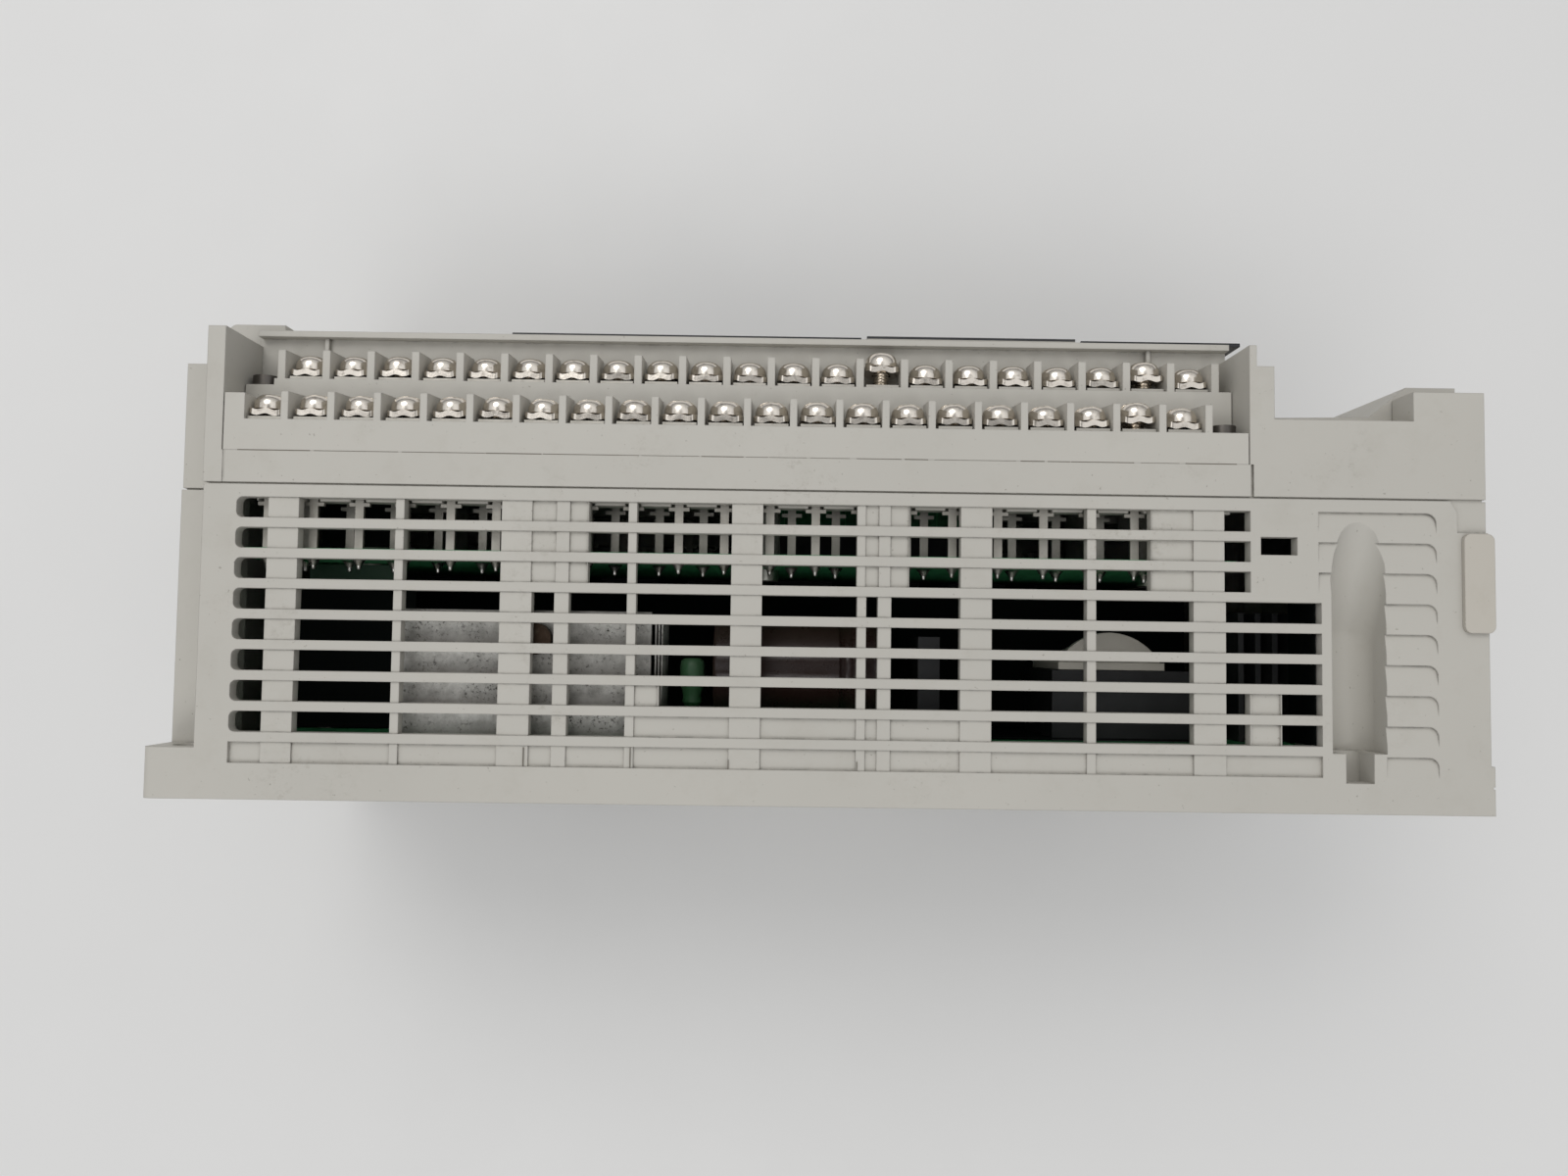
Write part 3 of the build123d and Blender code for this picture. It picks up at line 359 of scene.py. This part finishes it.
def lathe(profile, segments=28):
    """Turns (radius, height) points in mm about the -Y axis; heights grow towards -Y."""
    verts = []
    faces = []
    for radius, height in profile:
        for s in range(segments):
            a = 2 * math.pi * s / segments
            verts.append((radius * math.cos(a) * MM, -height * MM, radius * math.sin(a) * MM))
    for i in range(len(profile) - 1):
        for s in range(segments):
            t = (s + 1) % segments
            faces.append((i * segments + s, i * segments + t, (i + 1) * segments + t,
                          (i + 1) * segments + s))
    faces.append(tuple(range(segments)))
    last = (len(profile) - 1) * segments
    faces.append(tuple(last + s for s in reversed(range(segments))))
    mesh = new_mesh("lathe", verts, faces)
    tidy_normals(mesh)
    return mesh


def box_mesh(low, high, bevel=0.0, segments=2):
    """A box between two corners in mm, with bevelled edges."""
    bm = bmesh.new()
    bmesh.ops.create_cube(bm, size=1.0)
    size = [(b - a) * MM for a, b in zip(low, high)]
    middle = [(a + b) / 2 * MM for a, b in zip(low, high)]
    bmesh.ops.scale(bm, vec=size, verts=bm.verts)
    bmesh.ops.translate(bm, vec=middle, verts=bm.verts)
    if bevel:
        bmesh.ops.bevel(bm, geom=bm.edges[:], offset=bevel * MM, segments=segments,
                        affect="EDGES", profile=0.5)
    mesh = bpy.data.meshes.new("box")
    bm.to_mesh(mesh)
    bm.free()
    return mesh


def cut(mesh, cutters):
    """The mesh with each cutter mesh taken away."""
    target = bpy.data.objects.new("target", mesh)
    bpy.context.scene.collection.objects.link(target)
    helpers = []
    for cutter in cutters:
        helper = bpy.data.objects.new("cutter", cutter)
        bpy.context.scene.collection.objects.link(helper)
        modifier = target.modifiers.new("cut", "BOOLEAN")
        modifier.object = helper
        modifier.solver = "EXACT"
        helpers.append(helper)
    graph = bpy.context.evaluated_depsgraph_get()
    result = bpy.data.meshes.new_from_object(target.evaluated_get(graph))
    for obj in helpers + [target]:
        bpy.data.objects.remove(obj)
    return result


def copies(mesh, places):
    """One mesh with a copy of mesh at each matrix."""
    points = [v.co.copy() for v in mesh.vertices]
    loops = [tuple(p.vertices) for p in mesh.polygons]
    verts = []
    faces = []
    for place in places:
        base = len(verts)
        verts += [place @ p for p in points]
        faces += [tuple(base + i for i in loop) for loop in loops]
    return new_mesh("copies", verts, faces)


def joined(meshes):
    verts = []
    faces = []
    for mesh in meshes:
        base = len(verts)
        verts += [v.co.copy() for v in mesh.vertices]
        faces += [tuple(base + i for i in p.vertices) for p in mesh.polygons]
    return new_mesh("joined", verts, faces)


def piece(name, mesh, material, body=ROOT, replaces=(), smooth_angle=40.0):
    """Adds a finished piece that rides on a body and may stand for CAD nodes."""
    mesh.name = name
    mesh.materials.clear()
    mesh.materials.append(material)
    obj = bpy.data.objects.new(name, mesh)
    bpy.context.scene.collection.objects.link(obj)
    mesh.shade_smooth()
    mesh.set_sharp_from_angle(angle=math.radians(smooth_angle))
    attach(obj, body)
    if replaces:
        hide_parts(*replaces)
    return obj


def at(x, y, z, turn=0.0):
    """A place in mm, turned about the screw axis (Y) by an angle in radians."""
    return Matrix.Translation((x * MM, y * MM, z * MM)) @ Matrix.Rotation(turn, 4, "Y")


# ------------------------------------------------------------- the terminals

PITCH = 7.62
COUNT = 21
PLATE = 0.6
TIERS = {"lower": (92.48, -62.2, 41.3), "upper": (88.79, -70.6, 33.9)}  # first x, seat y, z
RAISED = {"lower": {19: 0.8}, "upper": {13: 2.0, 19: 1.0}}  # screws left unscrewed, by position
SOLDER_Z = {"lower": 40.8, "upper": 34.2}
HEAD_RADIUS = 2.8
HEAD_SIDE = 0.7
HEAD_DOME = 2.0
UNDER_HEAD = 1.25
THREAD_PITCH = 0.5
WASHER_HALF = 2.95
WASHER_THICK = 0.95
WASHER_WAVE = 0.18
WASHER_HOLE = 1.62


def screw_mesh():
    """Pan-head screw with a cross recess; its underside is at y = 0."""
    profile = [(1.05, -4.5), (1.2, -4.3)]
    for turn in range(8):
        profile += [(1.24, -4.25 + THREAD_PITCH * turn), (1.46, -4.0 + THREAD_PITCH * turn)]
    profile += [(1.2, -0.35), (1.2, -0.02), (HEAD_RADIUS - 0.15, 0.0), (HEAD_RADIUS, 0.12),
                (HEAD_RADIUS, HEAD_SIDE)]
    for i in range(1, 10):
        a = math.pi / 2 * i / 10
        profile.append((HEAD_RADIUS * math.cos(a) ** 0.62, HEAD_SIDE + HEAD_DOME * math.sin(a)))
    head = lathe(profile, 36)
    arm = [box_mesh((-1.6, -3.5, -0.3), (1.6, -1.6, 0.3)),
           box_mesh((-0.3, -3.5, -1.6), (0.3, -1.6, 1.6)),
           box_mesh((-0.6, -3.5, -0.6), (0.6, -1.2, 0.6))]
    return cut(head, arm)


def washer_mesh():
    """Square saddle washer; it rests on two waves, and its middle and ends stand clear."""
    half = WASHER_HALF
    steps = 20
    rows = 7
    verts = []
    faces = []

    def lift(x):
        return WASHER_WAVE + WASHER_WAVE * math.cos(2 * math.pi * abs(x) / half)

    def pull(i, j):
        x = -half + 2 * half * i / steps
        z = -half + 2 * half * j / (rows - 1)
        corner = max(0.0, abs(x) + abs(z) - 2 * half + 0.7)
        return x - math.copysign(corner * 0.5, x), z - math.copysign(corner * 0.5, z)

    for level in (0.0, WASHER_THICK):
        for j in range(rows):
            for i in range(steps + 1):
                x, z = pull(i, j)
                verts.append((x * MM, -(lift(x) + level) * MM, z * MM))
    per = (steps + 1) * rows
    for j in range(rows - 1):
        for i in range(steps):
            a = j * (steps + 1) + i
            b = a + steps + 1
            faces.append((a, a + 1, b + 1, b))
            faces.append((per + a, per + b, per + b + 1, per + a + 1))
    edge = list(range(steps + 1))
    edge += [j * (steps + 1) + steps for j in range(1, rows)]
    edge += [(rows - 1) * (steps + 1) + i for i in reversed(range(steps))]
    edge += [j * (steps + 1) for j in reversed(range(1, rows - 1))]
    for a, b in zip(edge, edge[1:] + edge[:1]):
        faces.append((a, per + a, per + b, b))
    mesh = new_mesh("washer", verts, faces)
    tidy_normals(mesh)
    hole = lathe([(WASHER_HOLE, -1.0), (WASHER_HOLE, 2.5)], 28)
    return cut(mesh, [hole])


def terminals():
    screw = screw_mesh()
    saddle = washer_mesh()
    for side, sign in (("top", 1), ("bottom", -1)):
        for tier, (first, seat, z) in TIERS.items():
            screws = []
            washers = []
            for i in range(COUNT):
                x = first - PITCH * i
                up = RAISED[tier].get(i, 0.0) + rng.uniform(0.0, 0.18)
                lean = Matrix.Rotation(rng.uniform(-0.05, 0.05), 4, "Z")
                turn = rng.uniform(0, math.pi)
                screws.append(at(x, seat - PLATE - UNDER_HEAD - up, sign * z) @ lean
                              @ Matrix.Rotation(turn, 4, "Y"))
                washers.append(at(x, seat - PLATE - 0.02 - up, sign * z,
                                  rng.uniform(-0.07, 0.07)) @ lean)
            node = side + "_" + tier
            piece(node + "_screw_set", copies(screw, screws), MATERIALS["nickel_steel"],
                  replaces=(node + "_screws",))
            piece(node + "_washer_set", copies(saddle, washers), MATERIALS["nickel_steel"],
                  replaces=(node + "_washers",))


def solder():
    """Bright concave solder cones round the blade ends."""
    cone = lathe([(1.35, 0.0), (1.15, -0.12), (0.92, -0.4), (0.7, -0.75), (0.5, -1.05),
                  (0.38, -1.3), (0.34, -1.65), (0.24, -1.8), (0.02, -1.84)], 18)
    board_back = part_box("io_board")[1][1] / MM
    places = []
    for tier, depth in SOLDER_Z.items():
        first = TIERS[tier][0]
        for sign in (1, -1):
            for i in range(COUNT):
                places.append(at(first - PITCH * i, board_back, sign * depth))
    piece("solder_cones", copies(cone, places), BRIGHT_SOLDER,
          replaces=("solder_joints",))


# ------------------------------------------------------------ inside, in view

def rounded_can(name, node, axis, material, edge=0.8, extra=()):
    """A cylinder node made again with rolled edges."""
    low, high = (Vector(c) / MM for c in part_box(node))
    centre = (low + high) / 2
    size = high - low
    length = size[axis]
    radius = size[(axis + 1) % 3] / 2
    half = length / 2
    profile = [(0.02, -half + 0.3), (radius - 1.8, -half + 0.3), (radius - 1.4, -half)]
    profile += [(radius - edge, -half)]
    profile += [(radius - edge + edge * math.sin(a), -half + edge - edge * math.cos(a))
                for a in (0.5, 1.0, 1.57)]
    profile += list(extra)
    profile += [(radius - edge + edge * math.cos(a), half - edge + edge * math.sin(a))
                for a in (0.0, 0.5, 1.0, 1.57)]
    profile += [(radius - 1.4, half), (radius - 1.8, half - 0.3), (0.02, half - 0.3)]
    mesh = lathe(profile, 48)
    turn = {0: Matrix.Rotation(math.pi / 2, 4, "Z"), 1: Matrix.Identity(4),
            2: Matrix.Rotation(math.pi / 2, 4, "X")}[axis]
    mesh.transform(Matrix.Translation(centre * MM) @ turn)
    return piece(name, mesh, material, replaces=(node,))


def inner_parts():
    rounded_can("electrolytic_capacitor", "main_capacitor", 0, MATERIALS["brown_sleeve"],
                extra=[(9.0, -9.8), (8.3, -9.2), (8.2, -8.6), (8.3, -8.0),
                                       (9.0, -7.4)])
    rounded_can("backup_battery", "battery", 2, MATERIALS["battery_wrap"], 0.6)

    # sleeved part standing on the power board, with its lead
    low, high = (Vector(c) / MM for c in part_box("sleeved_resistor"))
    x = (low.x + high.x) / 2
    z = (low.z + high.z) / 2
    y = low.y
    sleeve = lathe([(0.3, -8.5), (1.3, -8.2), (1.7, -7.6), (1.55, -6.5), (1.8, -5.5), (2.1, -4.5),
                    (2.15, -3.0), (2.15, -1.5), (2.0, -0.6), (1.5, -0.1), (0.3, 0.0)], 24)
    sleeve.transform(Matrix.Translation((x * MM, y * MM, z * MM)))
    piece("sleeved_part", sleeve, MATERIALS["green_sleeve"],
          replaces=("sleeved_resistor",))
    lead = lathe([(0.4, -13.3), (0.4, -8.3)], 12)
    lead.transform(Matrix.Translation((x * MM, y * MM, z * MM)))
    piece("sleeved_part_lead", lead, MATERIALS["tinned_metal"])

    # thin sheets beside the heat sink
    low, high = (Vector(c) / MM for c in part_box("heat_sink"))
    sheets = [box_mesh((low.x - 0.85 - 0.5 * i, low.y + 1.0, 28.0),
                       (low.x - 0.6 - 0.5 * i, -12.0, 39.6 - 0.4 * i), 0.05, 1)
              for i in range(3)]
    piece("insulating_sheets", joined(sheets), MATERIALS["aluminium_sheet"])

    # black sheets below and beside the tall parts, and a strip of board at one end
    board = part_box("power_board")[0][1] / MM
    trays = [box_mesh((-72.0, -37.6, 7.6), (94.0, -11.0, 8.0), 0.05, 1),
             box_mesh((-70.0, board - 0.5, 8.0), (-20.0, board - 0.2, 33.0), 0.05, 1),
             box_mesh((-81.7, -41.5, 33.0), (-81.5, -10.8, 43.2), 0.05, 1),
             box_mesh((71.5, -36.0, 27.6), (95.0, -10.6, 28.0), 0.05, 1),
             box_mesh((73.0, -56.0, 30.2), (87.5, -42.5, 30.5), 0.05, 1)]
    piece("insulating_trays", joined(trays), BLACK_SHEET)
    apron = box_mesh((73.6, -39.3, 30.2), (89.5, -36.2, 30.5), 0.05, 1)
    piece("board_apron", apron, APRON)


LEG_PITCH = 1.27


def chips():
    """Small parts on the three boards: node, side, middle (x, z) and size (x, z)."""
    spots = [("cpu_board", 1, (-52.0, -14.0), (18.0, 14.0)),
             ("cpu_board", 1, (40.0, 10.0), (12.0, 9.0)),
             ("cpu_board", 1, (66.0, -12.0), (20.0, 7.0)),
             ("cpu_board", 1, (26.0, -16.0), (14.0, 6.0)),
             ("power_board", -1, (-34.0, -18.0), (9.0, 7.0)),
             ("power_board", -1, (6.0, -20.0), (10.0, 7.0)),
             ("io_board", -1, (60.0, 8.0), (12.0, 7.0)),
             ("io_board", -1, (30.0, 8.0), (12.0, 7.0))]
    bodies = []
    legs = []
    for node, side, (x, z), (width, height) in spots:
        low, high = (Vector(c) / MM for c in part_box(node))
        base = high.y if side > 0 else low.y
        top = base + side * 2.2
        bodies.append(box_mesh((x - width / 2, min(base + side * 0.4, top), z - height / 2),
                               (x + width / 2, max(base + side * 0.4, top), z + height / 2), 0.2))
        count = int(width / LEG_PITCH) - 1
        for i in range(count):
            lx = x + (i - (count - 1) / 2) * LEG_PITCH
            for edge in (-1, 1):
                lz = z + edge * (height / 2 + 0.7)
                legs.append(box_mesh((lx - 0.2, min(base, base + side * 0.8), lz - 0.8),
                                     (lx + 0.2, max(base, base + side * 0.8), lz + 0.8), 0.05, 1))
    piece("board_chips", joined(bodies), CHIP)
    piece("board_chip_legs", joined(legs), MATERIALS["tinned_metal"])


# --------------------------------------------------------- outside, small things

def slab(x, y, z, bevel=0.02):
    """A thin piece between two x, y and z values."""
    low = [min(pair) for pair in (x, y, z)]
    high = [max(pair) for pair in (x, y, z)]
    return box_mesh(low, high, bevel, 1)


PRINT_T = 0.06


def labels_and_prints():
    """Blank labels, plain lines and panel edges; nothing on them can be read."""
    plates = [slab((109.7, 109.82), (-44.0, -14.0), (-27.0, 27.0)),
              slab((-109.4, -109.52), (-42.0, -16.0), (-22.0, 22.0))]
    piece("blank_labels", joined(plates), LABEL)
    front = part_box("name_panel")[0][1] / MM
    lines = []
    for low_z, high_z in ((15.2, 25.8), (-25.8, -15.2)):
        lines += [slab((9.2, 48.8), (front, front - PRINT_T), (low_z - 0.25, low_z)),
                  slab((9.2, 48.8), (front, front - PRINT_T), (high_z, high_z + 0.25)),
                  slab((9.0, 9.25), (front, front - PRINT_T), (low_z, high_z)),
                  slab((48.75, 49.0), (front, front - PRINT_T), (low_z, high_z))]
    for i in range(16):
        x = 12.5 + 2.2 * i
        lines += [slab((x - 0.12, x + 0.12), (front, front - PRINT_T), (26.6, 27.6)),
                  slab((x - 0.12, x + 0.12), (front, front - PRINT_T), (-27.6, -26.6))]
    for i in range(4):
        z = -9.0 + 6.0 * i
        lines.append(slab((-64.0, -59.0), (front, front - PRINT_T), (z - 0.3, z + 0.3)))
    piece("panel_lines", joined(lines), PRINT)
    edges = []
    for sign in (1, -1):
        edges += [slab((-6.9, 54.8), (front, front - 0.15), (sign * 31.0, sign * 31.45)),
                  slab((-74.0, -45.8), (front, front - 0.15), (sign * 31.0, sign * 31.45)),
                  slab((-44.8, -7.9), (front, front - 0.45), (sign * 31.15, sign * 31.45))]
    piece("panel_edges", joined(edges), MATERIALS["panel_film"])
    stripe = slab((-5.8, 53.6), (front, front - PRINT_T), (-1.2, 1.2))
    piece("panel_stripe", stripe, ACCENT)


def seam_dirt():
    """Uneven threads of dirt along the joints of the terminal blocks, and four cell corners."""
    threads = []
    for node, sign in (("top_terminal_block", 1), ("bottom_terminal_block", -1)):
        low, high = (Vector(c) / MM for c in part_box(node))
        face = high.z if sign > 0 else low.z
        x = low.x + 2.0
        while x < high.x - 14.0:
            end = x + rng.uniform(3.0, 16.0)
            half = rng.uniform(0.03, 0.09)
            threads.append(slab((x, min(end, high.x)), (high.y - half, high.y + half),
                                (face - 0.02 * sign, face + 0.012 * sign), 0.0))
            x = end + rng.uniform(0.0, 1.2)
    marks = ((48.2, -7.3, 3.4), (30.85, -7.5, 3.2), (14.9, -6.6, 1.6), (-6.0, -6.7, 1.4))
    for x, y, length in marks:
        threads.append(slab((x - 0.07, x + 0.07), (y - length / 2, y + length / 2),
                            (44.3, 44.95), 0.0))
    piece("seam_threads", joined(threads), DIRT)


# ------------------------------------------------------- stage, camera, light

def stage():
    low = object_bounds()[0]
    bpy.ops.mesh.primitive_plane_add(size=6.0, location=(0, 0, low[2]))
    floor = bpy.context.object
    floor.name = "table"
    floor.data.materials.append(FLOOR)
    floor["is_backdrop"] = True


def area_light(name, place, target, size, power, colour=(1, 1, 1)):
    light = bpy.data.lights.new(name, "AREA")
    light.shape = "DISK"
    light.size = size
    light.energy = power
    light.color = colour
    obj = bpy.data.objects.new(name, light)
    obj.location = place
    obj.rotation_euler = (Vector(target) - Vector(place)).to_track_quat("-Z", "Y").to_euler()
    bpy.context.scene.collection.objects.link(obj)


def lights():
    """A ceiling that fades towards the walls and is dark overhead, with two soft lamps."""
    world = bpy.data.worlds.new("studio")
    world.use_nodes = True
    tree = world.node_tree
    background = tree.nodes["Background"]
    place = tree.nodes.new("ShaderNodeTexCoord")
    split = tree.nodes.new("ShaderNodeSeparateXYZ")
    rise = tree.nodes.new("ShaderNodeValToRGB")
    stops = rise.color_ramp.elements
    stops[0].position = 0.0
    stops[0].color = (0.20, 0.20, 0.20, 1)
    stops[1].position = 1.0
    stops[1].color = (0.22, 0.22, 0.22, 1)
    for position, value in ((0.90, 0.93), (0.955, 0.80), (0.975, 0.30)):
        stop = stops.new(position)
        stop.color = (value, value, value, 1)
    tree.links.new(place.outputs["Generated"], split.inputs["Vector"])
    tree.links.new(split.outputs["Z"], rise.inputs["Fac"])
    tree.links.new(rise.outputs[0], background.inputs["Strength"])
    background.inputs["Color"].default_value = (0.975, 0.985, 1.0, 1)
    bpy.context.scene.world = world
    area_light("key", (0.40, -0.95, 1.35), (0, -0.03, 0), 1.0, 6.4, (1.0, 0.985, 0.96))
    area_light("fill", (0.25, 0.85, 1.45), (0, 0, 0), 0.8, 4.0)
    bpy.context.scene.view_settings.view_transform = "Standard"


def camera():
    """Looks straight down on the vented long side."""
    right = Vector((-0.99989, -0.01417, 0.00451))
    down = Vector((-0.01438, 0.99865, -0.04997))
    ahead = Vector((-0.00380, -0.05003, -0.99874))
    rows = Matrix((right, -down, -ahead)).transposed().to_4x4()
    data = bpy.data.cameras.new("camera")
    data.sensor_width = 36.0
    data.lens = 27.118
    data.clip_start = 0.01
    obj = bpy.data.objects.new("camera", data)
    obj.matrix_world = Matrix.Translation((0.006944, -0.025857, 0.237995)) @ rows
    bpy.context.scene.collection.objects.link(obj)
    bpy.context.scene.camera = obj


paint_cad_nodes()
terminals()
solder()
inner_parts()
chips()
labels_and_prints()
seam_dirt()
stage()
lights()
camera()
